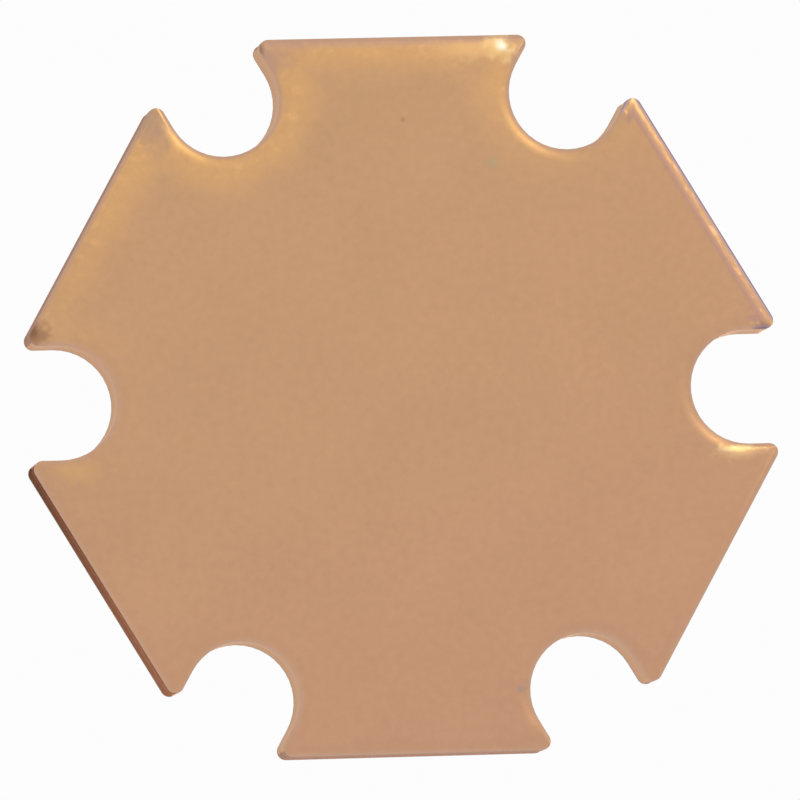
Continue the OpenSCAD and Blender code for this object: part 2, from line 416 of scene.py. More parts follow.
def edge_distance(in_mm):
    """Distance from the star's outline, straight up or down from any point, in mm."""
    half_turn = math.radians(SIDE_TURN / 2)
    axes = node("SeparateXYZ", {0: in_mm}).outputs
    reach = reach_of(node("CombineXYZ", {0: axes["X"], 1: axes["Y"]}).outputs[0])
    turn = maths("ARCTAN2", axes["Y"], axes["X"])
    folded = maths("WRAP", turn, half_turn, -half_turn)
    along = product(reach, maths("COSINE", folded))
    across = product(reach, maths("SINE", folded))
    past = maths("SUBTRACT", along, sizes().notch_reach / MM)
    past = maths("MINIMUM", past, 0.0)
    off_notch = node("CombineXYZ", {0: past, 1: across}).outputs[0]
    to_notch = maths("SUBTRACT", reach_of(off_notch), sizes().notch_radius / MM)
    from_normal = maths("SUBTRACT", maths("ABSOLUTE", folded), half_turn)
    to_side = maths("SUBTRACT", PLATE_HIGH.y / MM, product(reach, maths("COSINE", from_normal)))
    return maths("MINIMUM", to_notch, to_side)


def hairlines(in_mm):
    """Fine lines that the rolling drew, as a mask."""
    turned = node("Mapping", {"Vector": in_mm, "Rotation": (0.0, 0.0, 0.7)}).outputs["Vector"]
    drawn = stretched(turned, (0.06, 1.0, 1.0))
    feeds = {"Vector": drawn, "Scale": 3.0, "Detail": 5.0, "Roughness": 0.7}
    return fade(node("TexNoise", feeds).outputs["Fac"], 0.684, 0.744)


def towards(in_mm, bearing):
    """How far a point lies from the middle towards a bearing in degrees, in mm."""
    turn = math.radians(bearing)
    feeds = {0: in_mm, 1: (math.cos(turn), math.sin(turn), 0.0)}
    return node("VectorMath", feeds, operation="DOT_PRODUCT").outputs["Value"]


# Finishes


def new_finish(name, **constants):
    """A material with one Principled shader. Returns it, its shader and coordinates in mm."""
    finish = bpy.data.materials.new(name)
    finish.use_nodes = True
    tree = finish.node_tree
    shader = tree.nodes["Principled BSDF"]
    for socket, value in constants.items():
        shader.inputs[socket.replace("_", " ")].default_value = value
    place = source(tree, "TexCoord")["Object"]
    in_mm = node("VectorMath", {0: place, 3: 1.0 / MM}, operation="SCALE").outputs[0]
    return finish, shader, in_mm


def paint(shader, base):
    """Feeds a colour that changes over the surface into the shader."""
    feed(shader, {"Base Color": base})


def gloss(shader, height, smooth, rough):
    """Lets the roughness follow a height."""
    feed(shader, {"Roughness": spread(height, smooth, rough)})


def bump(shader, height, strength, distance):
    """Feeds a height into the shader's normal."""
    feeds = {"Height": height, "Strength": strength, "Distance": distance}
    feed(shader, {"Normal": node("Bump", feeds).outputs["Normal"]})


def grained(shader, tone, grain, smooth, rough, strength, distance):
    """One tone whose tint, roughness and relief follow the same patches."""
    paint(shader, toned(rgba(tone), grain["Tint"]))
    gloss(shader, grain["Height"], smooth, rough)
    bump(shader, grain["Height"], strength, distance)


def back_finish():
    """Bare rolled copper of the back: satin and faintly mottled, with handling marks, painted shade towards
    its far end, and a painted glow, painted glints and painted reflections towards its rim.
    """
    tone = colours()
    finish, shader, in_mm = new_finish("copper_back", Metallic=1.0)
    broad = mottle(in_mm, scale=0.3, strength=0.06)
    fine = mottle(in_mm, scale=4.0, strength=0.08)
    # Painted shade: the face darkens towards its far end, standing in for light falling off across it
    far = fade(towards(in_mm, SHADED_END), -9.0, 9.0, smooth=False)
    face = mixed(far, rgba(tone.copper_face), rgba(tone.copper_far_shade))
    face = rim_tones(in_mm, face)
    face = toned(face, product(broad["Tint"], fine["Tint"]))
    paint(shader, marks_and_highlights(in_mm, face))

    height = node("SeparateXYZ", {0: in_mm}).outputs["Z"]
    rolled = fade(height, 0.0, sizes().roll_depth / MM)
    dents = mottle(in_mm, scale=3.2, strength=0.9)["Height"]
    polish = product(rolled, spread(dents, -0.06, 0.3))
    satin = spread(fine["Height"], 0.34, 0.46)
    feed(shader, {"Roughness": maths("SUBTRACT", satin, polish)})

    drawn = product(hairlines(in_mm), -0.05)
    relief = maths("ADD", drawn, fine["Height"])
    relief = maths("MULTIPLY_ADD", product(rolled, dents), 2.5, relief)
    bump(shader, relief, strength=0.08, distance=0.02 * MM)
    return finish


def rim_tones(in_mm, face):
    """Lays the tones of the rim over the face: a painted glow with painted glint flecks towards the lit
    end, a painted mauve reflection along the rim, and the painted shade and reflections of the glinting
    side.
    """
    tone = colours()
    edge = edge_distance(in_mm)
    patch = mottle(in_mm, scale=0.9, strength=0.5)["Tint"]
    uneven = product(edge, patch)
    # Painted highlight: a golden glow inside the rim, strongest towards the lit end
    lit_end = fade(towards(in_mm, LIT_END), 2.5, 9.0)
    glow = product(lit_end, fade(uneven, *GLOW_ZONE))
    face = mixed(product(glow, 0.92), face, rgba(tone.rim_glow_gold))
    # Painted glints: bright golden flecks scattered in the painted glow
    flecks = fade(mottle(in_mm, scale=3.0, strength=0.5)["Height"], 0.48, 0.75)
    bright = product(glow, fade(uneven, *GLINT_FLECK_ZONE), flecks, 0.45)
    face = mixed(bright, face, rgba(tone.glint_fleck_gold))

    # Painted reflection: a mauve tone along the outer rim, wider on one side
    wide = fade(towards(in_mm, WIDE_MAUVE_SIDE), 9.0, 9.5)
    mauve_width = maths("MULTIPLY_ADD", wide, 0.24, 0.13)
    film = fade(edge, mauve_width, product(mauve_width, 0.3))
    face = mixed(film, face, rgba(tone.rim_mauve_reflection))
    return glinting_side_tones(in_mm, edge, face)


def glinting_side_tones(in_mm, edge, face):
    """Lays a mauve line of painted shade, painted glints, a lilac tone and a dark painted reflection along
    the roll of the glinting side.
    """
    tone = colours()
    # Painted shade: a darker mauve line just inside the glint
    here = fade(towards(in_mm, GLINTING_SIDE), 9.3, 9.5)
    line = product(here, band(edge, *MAUVE_LINE))
    face = mixed(line, face, rgba(tone.mauve_shade_line))
    feeds = {
        "Vector": in_mm,
        "Rotation": (0.0, 0.0, math.radians(GLINTING_SIDE + 90)),
        "Scale": (2.2, 1.0, 1.0),
    }
    # Painted highlight: the base colour is brightened in broken patches along the glint band
    lengthwise = node("Mapping", feeds, vector_type="TEXTURE").outputs["Vector"]
    dents = fade(mottle(lengthwise, scale=5.0)["Height"], 0.44, 0.66)
    glint = spread(dents, 0.94, 1.4)
    face = toned(face, glint, product(here, band(edge, *GLINT_BAND)))
    ragged = mottle(in_mm, scale=3.0, strength=0.5)["Tint"]
    uneven = product(edge, ragged)
    film = product(here, fade(uneven, *LILAC_ZONE), 0.9)
    face = mixed(film, face, rgba(tone.outer_roll_lilac))
    # Painted reflection: a dark ragged border where the steep roll mirrors darker surroundings
    border = product(here, fade(uneven, *BORDER_ZONE), 0.8)
    return mixed(border, face, rgba(tone.dark_border_reflection))


def marks_and_highlights(in_mm, face):
    """Lays the ragged marks of handling, and the painted highlights, over the face."""
    ragged = mottle(in_mm, scale=3.0, strength=1.0)["Tint"]
    for middle, reach, strength, tone in HANDLING_MARKS_AND_HIGHLIGHTS:
        feeds = {0: in_mm, 1: (*middle, 0.0)}
        off_middle = node("VectorMath", feeds, operation="SUBTRACT").outputs[0]
        feeds = {0: off_middle, 1: (*reach, 1.0)}
        scaled = node("VectorMath", feeds, operation="DIVIDE").outputs[0]
        away = product(reach_of(scaled), ragged)
        mark = product(fade(away, 1.0, 0.0), strength)
        face = mixed(mark, face, rgba(tone))
    return face


def wall_finish(name, sheared, torn_tone, grazing, tarnish=0.0):
    """Punched wall: upright scores where it was sheared, pitted and grainy where it tore."""
    finish, shader, in_mm = new_finish(name, Metallic=1.0, Specular_Tint=rgba(grazing))
    height = node("SeparateXYZ", {0: in_mm}).outputs["Z"]
    scores = mottle(stretched(in_mm, (9.0, 9.0, 0.5)), scale=1.0, strength=0.2)
    pits = mottle(in_mm, scale=5.0, strength=0.22)
    grain = mottle(in_mm, scale=19.0, strength=0.3)
    tear_line = maths("MULTIPLY_ADD", scores["Height"], 0.25, 0.5)
    torn = fade(maths("SUBTRACT", height, tear_line), -0.04, 0.08)
    wall = mixed(torn, rgba(sheared), rgba(torn_tone))
    rough_tint = product(pits["Tint"], grain["Tint"])
    tint = blended(torn, scores["Tint"], rough_tint)

    # Tarnish and painted shade: streaks along the wall, one end darker, blotches of oxide and a painted
    # shaded foot
    lengthwise = stretched(in_mm, (0.6, 0.6, 5.0))
    streaks = mottle(lengthwise, scale=1.0, strength=0.5 * tarnish)["Tint"]
    along = fade(towards(in_mm, TARNISHED_SHADED_SIDE - 90), -5.0, 4.5)
    one_end_darker = spread(along, 1.0 - tarnish, 1.0 + 0.5 * tarnish)
    blotched = stretched(in_mm, (3.2, 3.2, 1.1))
    oxide = mottle(blotched, scale=1.0, strength=0.35 * tarnish)
    shaded = spread(fade(height, 0.45, 0.12), 1.0, 1.0 - 0.8 * tarnish)
    tint = product(tint, streaks, one_end_darker, oxide["Tint"], shaded)
    paint(shader, toned(wall, tint))

    smooth = spread(scores["Height"], 0.3, 0.5)
    rough = spread(grain["Height"], 0.3, 0.8)
    crust = maths("SUBTRACT", 0.55, oxide["Height"], clamp=True)
    dull = maths("MULTIPLY_ADD", crust, 4.0 * tarnish, blended(torn, smooth, rough))
    feed(shader, {"Roughness": dull})
    shallow = product(scores["Height"], 0.5)
    deep = maths("MULTIPLY_ADD", pits["Height"], 1.5, grain["Height"])
    bump(shader, blended(torn, shallow, deep), strength=0.7, distance=0.03 * MM)
    return finish


def notch_finish():
    """Clean punched wall of the screw notches: bright copper with upright scores."""
    tone = colours()
    grazing = rgba(tone.notch_grazing)
    finish, shader, in_mm = new_finish("notch_wall", Metallic=1.0, Specular_Tint=grazing)
    scores = mottle(stretched(in_mm, (7.0, 7.0, 0.4)), scale=1.0, strength=0.14)
    grained(shader, tone.notch_copper, scores, smooth=0.24, rough=0.42, strength=0.35, distance=0.02 * MM)
    return finish


def foil_finish():
    """Copper foil of the tracks and the copper in the vias."""
    finish, shader, in_mm = new_finish("copper_foil", Metallic=1.0)
    grain = mottle(in_mm, scale=9.0, strength=0.12)
    grained(shader, colours().copper_face, grain, smooth=0.3, rough=0.5, strength=0.15, distance=0.02 * MM)
    return finish


def dielectric_finish():
    """Filled epoxy with pale filler grains."""
    tone = colours()
    finish, shader, in_mm = new_finish("filled_epoxy", Roughness=0.55)
    grain = mottle(in_mm, scale=14.0, strength=0.35)
    epoxy = toned(rgba(tone.dielectric_buff), grain["Tint"])
    filler = specks(in_mm, scale=12.0, size=0.4)
    paint(shader, mixed(filler, epoxy, rgba(tone.filler_pale)))
    bump(shader, grain["Height"], strength=0.4, distance=0.02 * MM)
    return finish


def mask_finish():
    """Glossy white solder mask with a faint ripple, slight patches and a few dust specks."""
    tone = colours()
    finish, shader, in_mm = new_finish("white_mask", IOR=1.5)
    patch = mottle(in_mm, scale=0.4, strength=0.03)
    ripple = mottle(in_mm, scale=3.5, strength=0.02)
    white = toned(rgba(tone.mask_white), product(patch["Tint"], ripple["Tint"]))
    dust = product(specks(in_mm, scale=1.1, size=0.05), 0.5)
    paint(shader, mixed(dust, white, rgba(tone.mask_dust)))
    gloss(shader, ripple["Height"], smooth=0.2, rough=0.34)
    bump(shader, ripple["Height"], strength=0.25, distance=0.03 * MM)
    return finish


def solder_finish():
    """Tin solder, bright with frosted patches."""
    finish, shader, in_mm = new_finish("tin_solder", Metallic=1.0)
    frost = mottle(in_mm, scale=2.2, strength=0.12)
    grain = mottle(in_mm, scale=16.0, strength=0.08)
    tint = product(frost["Tint"], grain["Tint"])
    paint(shader, toned(rgba(colours().solder_grey), tint))
    gloss(shader, fade(frost["Height"], 0.4, 0.65), smooth=0.18, rough=0.42)
    bump(shader, grain["Height"], strength=0.18, distance=0.02 * MM)
    return finish


def gold_finish():
    """Plated gold with a fine grain."""
    finish, shader, in_mm = new_finish("gold_plate", Metallic=1.0)
    grain = mottle(in_mm, scale=18.0, strength=0.1)
    grained(shader, colours().gold_plate, grain, smooth=0.22, rough=0.42, strength=0.12, distance=0.01 * MM)
    return finish


def ceramic_finish():
    """Fired white ceramic with a fine grain and pores."""
    tone = colours()
    finish, shader, in_mm = new_finish("fired_ceramic")
    grain = mottle(in_mm, scale=10.0, strength=0.06)
    white = toned(rgba(tone.ceramic_white), grain["Tint"])
    pores = product(specks(in_mm, scale=7.0, size=0.14), 0.35)
    paint(shader, mixed(pores, white, rgba(tone.ceramic_pore)))
    gloss(shader, grain["Height"], smooth=0.4, rough=0.6)
    bump(shader, grain["Height"], strength=0.25, distance=0.015 * MM)
    return finish


def chip_finish():
    """Polished semiconductor of the light-emitting chip, with saw marks on its sides."""
    finish, shader, in_mm = new_finish("chip_body", IOR=2.4)
    saw = mottle(stretched(in_mm, (2.0, 2.0, 40.0)), scale=1.0, strength=0.3)
    grained(shader, colours().chip_grey, saw, smooth=0.15, rough=0.35, strength=0.2, distance=0.01 * MM)
    return finish


def phosphor_finish():
    """Yellow phosphor with coarse grains."""
    finish, shader, in_mm = new_finish("phosphor", Roughness=0.7)
    broad = mottle(in_mm, scale=1.6, strength=0.08)
    grain = mottle(in_mm, scale=26.0, strength=0.3)
    tint = product(broad["Tint"], grain["Tint"])
    paint(shader, toned(rgba(colours().phosphor_yellow), tint))
    bump(shader, grain["Height"], strength=0.5, distance=0.02 * MM)
    return finish


def diode_finish():
    """Dark polished chip of the protection diode."""
    finish, shader, in_mm = new_finish("diode_body", IOR=2.2)
    sheen = mottle(in_mm, scale=8.0, strength=0.25)
    paint(shader, toned(rgba(colours().diode_dark), sheen["Tint"]))
    gloss(shader, sheen["Height"], smooth=0.12, rough=0.3)
    return finish


def ink_finish():
    """Printed ink, slightly uneven."""
    finish, shader, in_mm = new_finish("print_ink")
    cover = mottle(in_mm, scale=6.0, strength=0.4)
    grained(shader, colours().ink_grey, cover, smooth=0.35, rough=0.6, strength=0.3, distance=0.01 * MM)
    return finish


def partly_clear(shader, share, tint=(1.0, 1.0, 1.0)):
    """Lets light straight through a shader where share is 1."""
    tree = shader.id_data
    clear = tree.nodes.new("ShaderNodeBsdfTransparent")
    feed(clear, {"Color": rgba(tint)})
    joined = node("MixShader", {0: share, 1: shader.outputs[0], 2: clear.outputs[0]})
    feed(tree.nodes["Material Output"], {"Surface": joined.outputs[0]})


def silicone_finish():
    """Clear moulded silicone that lets the lamps reach the chip."""
    tone = colours()
    finish, shader, in_mm = new_finish(
        "clear_silicone", Base_Color=rgba(tone.silicone_clear), Transmission_Weight=1.0, IOR=1.41
    )
    haze = mottle(in_mm, scale=1.2, strength=0.1)["Height"]
    gloss(shader, haze, smooth=0.0, rough=0.06)
    bump(shader, haze, strength=0.03, distance=0.02 * MM)
    shadow = source(shader.id_data, "LightPath")["Is Shadow Ray"]
    partly_clear(shader, shadow, tone.silicone_shade)
    return finish


def dress(finish, *node_names):
    """Gives CAD nodes a finish."""
    for name in node_names:
        mesh = frame["nodes"][name].data
        mesh.materials.clear()
        mesh.materials.append(finish)


# Mesh helpers


def copy_of(node_name):
    """A merged copy of a CAD node's mesh with its flat faces joined."""
    bm = bmesh.new()
    bm.from_mesh(frame["nodes"][node_name].data)
    bmesh.ops.remove_doubles(bm, verts=bm.verts[:], dist=MERGE)
    flat = math.radians(0.5)
    bmesh.ops.dissolve_limit(bm, angle_limit=flat, verts=bm.verts[:], edges=bm.edges[:])
    return bm


def make_piece(bm, name, finish, replaced=(), sharp=35.0):
    """Closes a modelled piece, gives it its finish and ties it to the frame."""
    bmesh.ops.remove_doubles(bm, verts=bm.verts[:], dist=MERGE)
    bmesh.ops.recalc_face_normals(bm, faces=bm.faces[:])
    for face in bm.faces:
        face.smooth = True
    for edge in bm.edges:
        edge.smooth = edge.calc_face_angle(math.pi) < math.radians(sharp)
    mesh = bpy.data.meshes.new(name)
    bm.to_mesh(mesh)
    bm.free()
    stored = mesh.attributes.get("custom_normal")
    if stored:
        mesh.attributes.remove(stored)
    mesh.materials.append(finish)
    piece = bpy.data.objects.new(name, mesh)
    bpy.context.scene.collection.objects.link(piece)
    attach(piece, "root")
    if replaced:
        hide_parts(*replaced)
    return piece


def even_shading(piece):
    """Lets large flat faces set the shading beside small ones."""
    weigh = piece.modifiers.new("even_shading", "WEIGHTED_NORMAL")
    weigh.keep_sharp = True
    weigh.weight = 80


def soften(bm, edges, reach, segments):
    """Rounds the given edges over."""
    bmesh.ops.bevel(
        bm,
        geom=edges,
        offset=reach,
        offset_type="OFFSET",
        affect="EDGES",
        segments=segments,
        profile=0.5,
        material=-1,
        clamp_overlap=True,
    )


def is_corner(edge):
    """Whether the faces beside an edge turn by about 60 degrees or more."""
    return edge.calc_face_angle(0.0) > 1.0


def level_edges(bm, low, high, shortest):
    """Edges that run level between two heights and are longer than shortest."""
    found = []
    for edge in bm.edges:
        first, second = (v.co for v in edge.verts)
        level = abs(first.z - second.z) < MERGE
        if level and low < first.z < high and edge.calc_length() > shortest:
            found.append(edge)
    return found


def step_edge(edge, level):
    """Whether an edge is a level corner, convex or hollow, above a level."""
    first, second = (v.co for v in edge.verts)
    level_run = abs(first.z - second.z) < IN_PLANE and first.z > level + IN_PLANE
    return level_run and edge.is_manifold and is_corner(edge)


def clamped(value):
    """A value kept between 0 and 1."""
    return min(max(value, 0.0), 1.0)


# Pieces


class STARLED_OT_copper_plate(bpy.types.Operator):
    """Model the punched copper star: flat back, rolled rim and a wall that is sheared, then torn"""

    bl_idname = "star_led.copper_plate"
    bl_label = "Copper plate"

    def execute(self, context):
        size = sizes()
        bm = copy_of("copper_base")
        foot = size.roll_depth
        head = BOARD_LOW.z
        self.cut_wall(bm, foot, head, size.wall_step)
        end_room = 0.01
        moves = {}
        for vert in bm.verts:
            share = (vert.co.z - foot) / (head - foot)
            if end_room < share < 1.0 - end_room:
                moves[vert] = self.tear(vert, share, size.tear_depth)
        for vert, move in moves.items():
            vert.co += move
        for face in bm.faces:
            middle = face.calc_center_median()
            if abs(face.normal.z) < 0.5 and foot < middle.z < head:
                face.material_index = self.wall_kind(middle, size.notch_radius)
        strips = [f for f in bm.faces if len(f.verts) > 4 and f.calc_center_median().z > foot / 2]
        bmesh.ops.triangulate(bm, faces=strips, quad_method="BEAUTY", ngon_method="BEAUTY")
        tone = colours()
        clean = (tone.wall_sheared, tone.wall_torn, tone.wall_grazing)
        tarnished = (tone.tarnish_shade_sheared, tone.tarnish_shade_torn, tone.tarnish_shade_grazing)
        piece = make_piece(bm, "copper_plate", back_finish(), ["copper_base"])
        piece.data.materials.append(wall_finish("punched_wall", *clean))
        # A darker copy of the punched wall for the tarnished side: partly tarnish, partly painted shade
        piece.data.materials.append(wall_finish("tarnished_shaded_wall", *tarnished, TARNISH_AND_SHADE))
        piece.data.materials.append(notch_finish())
        even_shading(piece)
        return {"FINISHED"}

    @staticmethod
    def cut_wall(bm, foot, head, step):
        """Cuts the wall between two heights into a fine grid."""
        rows = round((head - foot) / step)
        for i in range(1, rows):
            bmesh.ops.bisect_plane(
                bm,
                geom=bm.verts[:] + bm.edges[:] + bm.faces[:],
                dist=MERGE,
                plane_co=(0.0, 0.0, foot + (head - foot) * i / rows),
                plane_no=(0.0, 0.0, 1.0),
            )
        edge_room = 0.002 * MM
        by_cuts = {}
        for edge in level_edges(bm, foot - edge_room, head + edge_room, 2 * step):
            cuts = round(edge.calc_length() / step) - 1
            by_cuts.setdefault(cuts, []).append(edge)
        for cuts, edges in sorted(by_cuts.items()):
            bmesh.ops.subdivide_edges(bm, edges=edges, cuts=cuts, use_grid_fill=True)
        bm.normal_update()

    @staticmethod
    def wall_kind(point, notch_radius):
        """Material of a point on the wall: in a screw notch, on the tarnished and shaded side or on
        another.
        """
        turn = math.degrees(math.atan2(point.y, point.x))
        off_axis = math.radians(turn - SIDE_TURN * round(turn / SIDE_TURN))
        notch_room = 0.1 * MM
        if abs(point.xy.length * math.sin(off_axis)) < notch_radius + notch_room:
            return NOTCH_WALL
        return TARNISHED_SHADED_WALL if abs(turn - TARNISHED_SHADED_SIDE) < SIDE_TURN / 2 else SIDE_WALL

    @staticmethod
    def tear(vert, share, depth):
        """How far a point of the wall sinks in: not at all where sheared, deep and ragged where torn."""
        outward = Vector((vert.normal.x, vert.normal.y, 0.0))
        if outward.length < 0.1:
            return Vector()
        outward.normalize()
        place = vert.co / MM
        # The tear starts along a wavy line and is ragged both coarsely and finely
        start = 0.32 + 0.1 * noise.noise(Vector((place.x, place.y, 0.0)) * 0.8)
        run_in = 0.12
        torn = clamped((share - start) / run_in)
        drop = math.sin(math.pi * clamped((share - start) / (1.0 - start)))
        ragged = noise.noise(place * 2.6) * 0.5 + noise.noise(place * 6.0) * 0.3
        sunk = torn * depth * (drop + 0.5 * ragged)
        return -outward * max(sunk, 0.0)


class STARLED_OT_board_layers(bpy.types.Operator):
    """Finish the dielectric, and model the tracks' foil and the soft skin of the solder mask"""

    bl_idname = "star_led.board_layers"
    bl_label = "Board layers"

    def execute(self, context):
        dress(dielectric_finish(), "dielectric_layer")
        foil = foil_finish()
        for side in ("anode", "cathode"):
            bm = copy_of(side + "_track")
            make_piece(bm, side + "_foil", foil, [side + "_track"])
        bm = copy_of("solder_mask")
        soften(bm, [e for e in bm.edges if step_edge(e, BOARD_HIGH.z)], sizes().mask_round, 3)
        piece = make_piece(bm, "mask_skin", mask_finish(), ["solder_mask"])
        even_shading(piece)
        return {"FINISHED"}


class STARLED_OT_wire_pads(bpy.types.Operator):
    """Model the four wire pads as crowned pillows of solder"""

    bl_idname = "star_led.wire_pads"
    bl_label = "Wire pads"

    def execute(self, context):
        bm = copy_of("pad_tinning")
        crown = sizes().solder_crown
        steps = 7
        half = 0.6 * MM
        tops = [f for f in bm.faces if f.normal.z > 0.9]
        for top in tops:
            for i in range(steps):
                turn = math.pi / 2 * i / steps
                onward = math.pi / 2 * (i + 1) / steps
                bmesh.ops.inset_individual(
                    bm,
                    faces=[top],
                    thickness=half * (math.cos(turn) - math.cos(onward)),
                    depth=crown * (math.sin(onward) - math.sin(turn)),
                    use_even_offset=True,
                )
        make_piece(bm, "wire_pad_solder", solder_finish(), ["pad_tinning"], sharp=60.0)
        return {"FINISHED"}


class STARLED_OT_polarity_marks(bpy.types.Operator):
    """Print a plus beside each anode pad and a minus beside each cathode pad"""

    bl_idname = "star_led.polarity_marks"
    bl_label = "Polarity marks"

    def execute(self, context):
        context.view_layer.update()
        bm = bmesh.new()
        for bearing, bars in MARKS:
            turn = math.radians(bearing)
            self.mark(bm, MARK_REACH * math.cos(turn), MARK_REACH * math.sin(turn), bars)
        make_piece(bm, "polarity_marks", ink_finish(), sharp=40.0)
        return {"FINISHED"}

    @staticmethod
    def mark(bm, x, y, bars):
        """One mark: a core that grows two arms for a minus and four for a plus."""
        size = sizes()
        core = bmesh.ops.create_cube(bm, size=1.0)["verts"]
        faces = list(dict.fromkeys(face for vert in core for face in vert.link_faces))
        arm = (size.mark_length - size.mark_width) / 2
        bmesh.ops.scale(bm, vec=(size.mark_width, size.mark_width, size.mark_height), verts=core)
        made = list(core)
        for face in faces:
            along = face.normal.copy()
            sideways = abs(along.x) > 0.9 or (bars > 1 and abs(along.y) > 0.9)
            if not sideways:
                continue
            grown = bmesh.ops.extrude_discrete_faces(bm, faces=[face])["faces"][0]
            bmesh.ops.translate(bm, vec=along * arm, verts=grown.verts[:])
            made += grown.verts[:]
        skin = bpy.data.objects["mask_skin"]
        hit, point, _, _ = skin.ray_cast(Vector((x, y, CAD_HIGH.z)), Vector((0.0, 0.0, -1.0)))
        if not hit:
            raise RuntimeError("A polarity mark lies off the solder mask")
        lift = point.z + size.mark_height / 2
        bmesh.ops.translate(bm, vec=(x, y, lift), verts=made)


class STARLED_OT_emitter_body(bpy.types.Operator):
    """Finish the contacts, lands, wires, vias and solder joints, and model the ceramic's soft edges"""

    bl_idname = "star_led.emitter_body"
    bl_label = "Emitter body"

    def execute(self, context):
        solder = bpy.data.materials.get("tin_solder") or solder_finish()
        foil = bpy.data.materials.get("copper_foil") or foil_finish()
        gold = gold_finish()
        dress(solder, "anode_solder", "thermal_solder", "cathode_solder", "die_attach")
        dress(gold, "anode_contact", "thermal_contact", "cathode_contact")
        dress(gold, "die_land", "bond_land", "bond_wires")
        dress(foil, "anode_vias", "cathode_vias")
        bm = copy_of("ceramic_substrate")
        half = CERAMIC_HIGH.x
        outer = []
        for edge in bm.edges:
            reach = min(max(abs(v.co.x), abs(v.co.y)) for v in edge.verts)
            if abs(reach - half) < IN_PLANE and is_corner(edge):
                outer.append(edge)
        soften(bm, outer, sizes().ceramic_round, 2)
        piece = make_piece(bm, "ceramic_body", ceramic_finish(), ["ceramic_substrate"])
        even_shading(piece)
        return {"FINISHED"}


class STARLED_OT_chip(bpy.types.Operator):
    """Give the chip, its phosphor and the protection diode their finishes"""

    bl_idname = "star_led.chip"
    bl_label = "Chip"

    def execute(self, context):
        dress(chip_finish(), "led_die")
        dress(phosphor_finish(), "phosphor_plate")
        dress(diode_finish(), "esd_diode")
        return {"FINISHED"}


class STARLED_OT_dome(bpy.types.Operator):
    """Model the clear dome and its square foot as one closed skin over the chip"""

    bl_idname = "star_led.dome"
    bl_label = "Dome"

    def execute(self, context):
        size = sizes()
        foot_z = CERAMIC_HIGH.z + size.skirt_height
        inset = 0.01 * MM
        sunk = 0.02 * MM
        bm = bmesh.new()
        verts = [bm.verts.new((x, 0.0, z)) for x, z in self.profile(size.dome_radius, foot_z)]
        edges = [bm.edges.new(pair) for pair in zip(verts, verts[1:])]
        bmesh.ops.spin(
            bm,
            geom=verts + edges,
            axis=(0.0, 0.0, 1.0),
            angle=2 * math.pi,
            steps=size.dome_segments,
            use_merge=True,
        )
        bmesh.ops.remove_doubles(bm, verts=bm.verts[:], dist=MERGE)
        rim = [e for e in bm.edges if e.is_boundary]
        square = bmesh.ops.create_grid(bm, x_segments=1, y_segments=1, size=DOME_HIGH.x - inset)
        bmesh.ops.translate(bm, vec=(0.0, 0.0, foot_z), verts=square["verts"])
        sheet = square["verts"][0].link_faces[0]
        border = list(sheet.edges)
        bmesh.ops.delete(bm, geom=[sheet], context="FACES_ONLY")
        bmesh.ops.subdivide_edges(bm, edges=border, cuts=size.dome_segments // 4 - 1)
        outline = [e for e in bm.edges if not e.link_faces]
        skirt = bmesh.ops.extrude_edge_only(bm, edges=outline)["geom"]
        lower = [v for v in skirt if isinstance(v, bmesh.types.BMVert)]
        drop = foot_z - CERAMIC_HIGH.z + sunk
        bmesh.ops.translate(bm, vec=(0.0, 0.0, -drop), verts=lower)
        bmesh.ops.bridge_loops(bm, edges=rim + outline)
        under = [e for e in skirt if isinstance(e, bmesh.types.BMEdge) and e.is_boundary]
        bmesh.ops.contextual_create(bm, geom=under)
        make_piece(bm, "clear_dome", silicone_finish(), ["dome_lens"], sharp=50.0)
        return {"FINISHED"}

    @staticmethod
    def profile(radius, foot_z):
        """Half section of the dome, from its crown to the end of the fillet at its foot."""
        dome_steps = 24
        fillet_steps = 4
        fillet = 0.08 * MM
        points = []
        for i in range(dome_steps):
            turn = math.pi / 2 * i / dome_steps
            points.append((radius * math.sin(turn), foot_z + radius * math.cos(turn)))
        for i in range(fillet_steps + 1):
            turn = math.pi / 2 * i / fillet_steps
            out = radius + fillet - fillet * math.cos(turn)
            points.append((out, foot_z + fillet - fillet * math.sin(turn)))
        return points


# Stage


def studio_world(scene):
    """White for the camera, a hazy horizon in mirrors and glass, even light for the rest."""
    values = studio()
    world = bpy.data.worlds.new("studio")
    scene.world = world
    world.use_nodes = True
    tree = world.node_tree
    tree.nodes.clear()
    path = source(tree, "LightPath")
    direction = source(tree, "TexCoord")["Generated"]
    height = node("SeparateXYZ", {0: direction}).outputs["Z"]
    white = rgba([values.backdrop] * 3)
    haze_low = -0.05
    haze_high = 0.1
    below = mixed(fade(height, haze_low, -0.4), rgba(values.haze_below), white)
    above = mixed(fade(height, haze_high, 0.9), rgba(values.haze_above), white)
    mirror = mixed(fade(height, haze_low, haze_high), below, above)
    seen = mixed(path["Is Camera Ray"], mirror, white)
    even = rgba([values.ambient] * 3)
    shows = maths("MAXIMUM", path["Is Camera Ray"], path["Is Glossy Ray"])
    shows = maths("MAXIMUM", shows, path["Is Transmission Ray"])
    light = mixed(shows, even, seen)
    sky = node("Background", {"Color": light, "Strength": 1.0})
    node("OutputWorld", {"Surface": sky.outputs[0]})


def floor_finish():
    """Pale paper that is clear when seen from below."""
    finish, shader, in_mm = new_finish("pale_floor", Roughness=0.9, Specular_IOR_Level=0.1)
    fibre = mottle(in_mm, scale=0.05, strength=0.01)
    paint(shader, toned(rgba(studio().floor_white), fibre["Tint"]))
    partly_clear(shader, source(shader.id_data, "NewGeometry")["Backfacing"])
    return finish


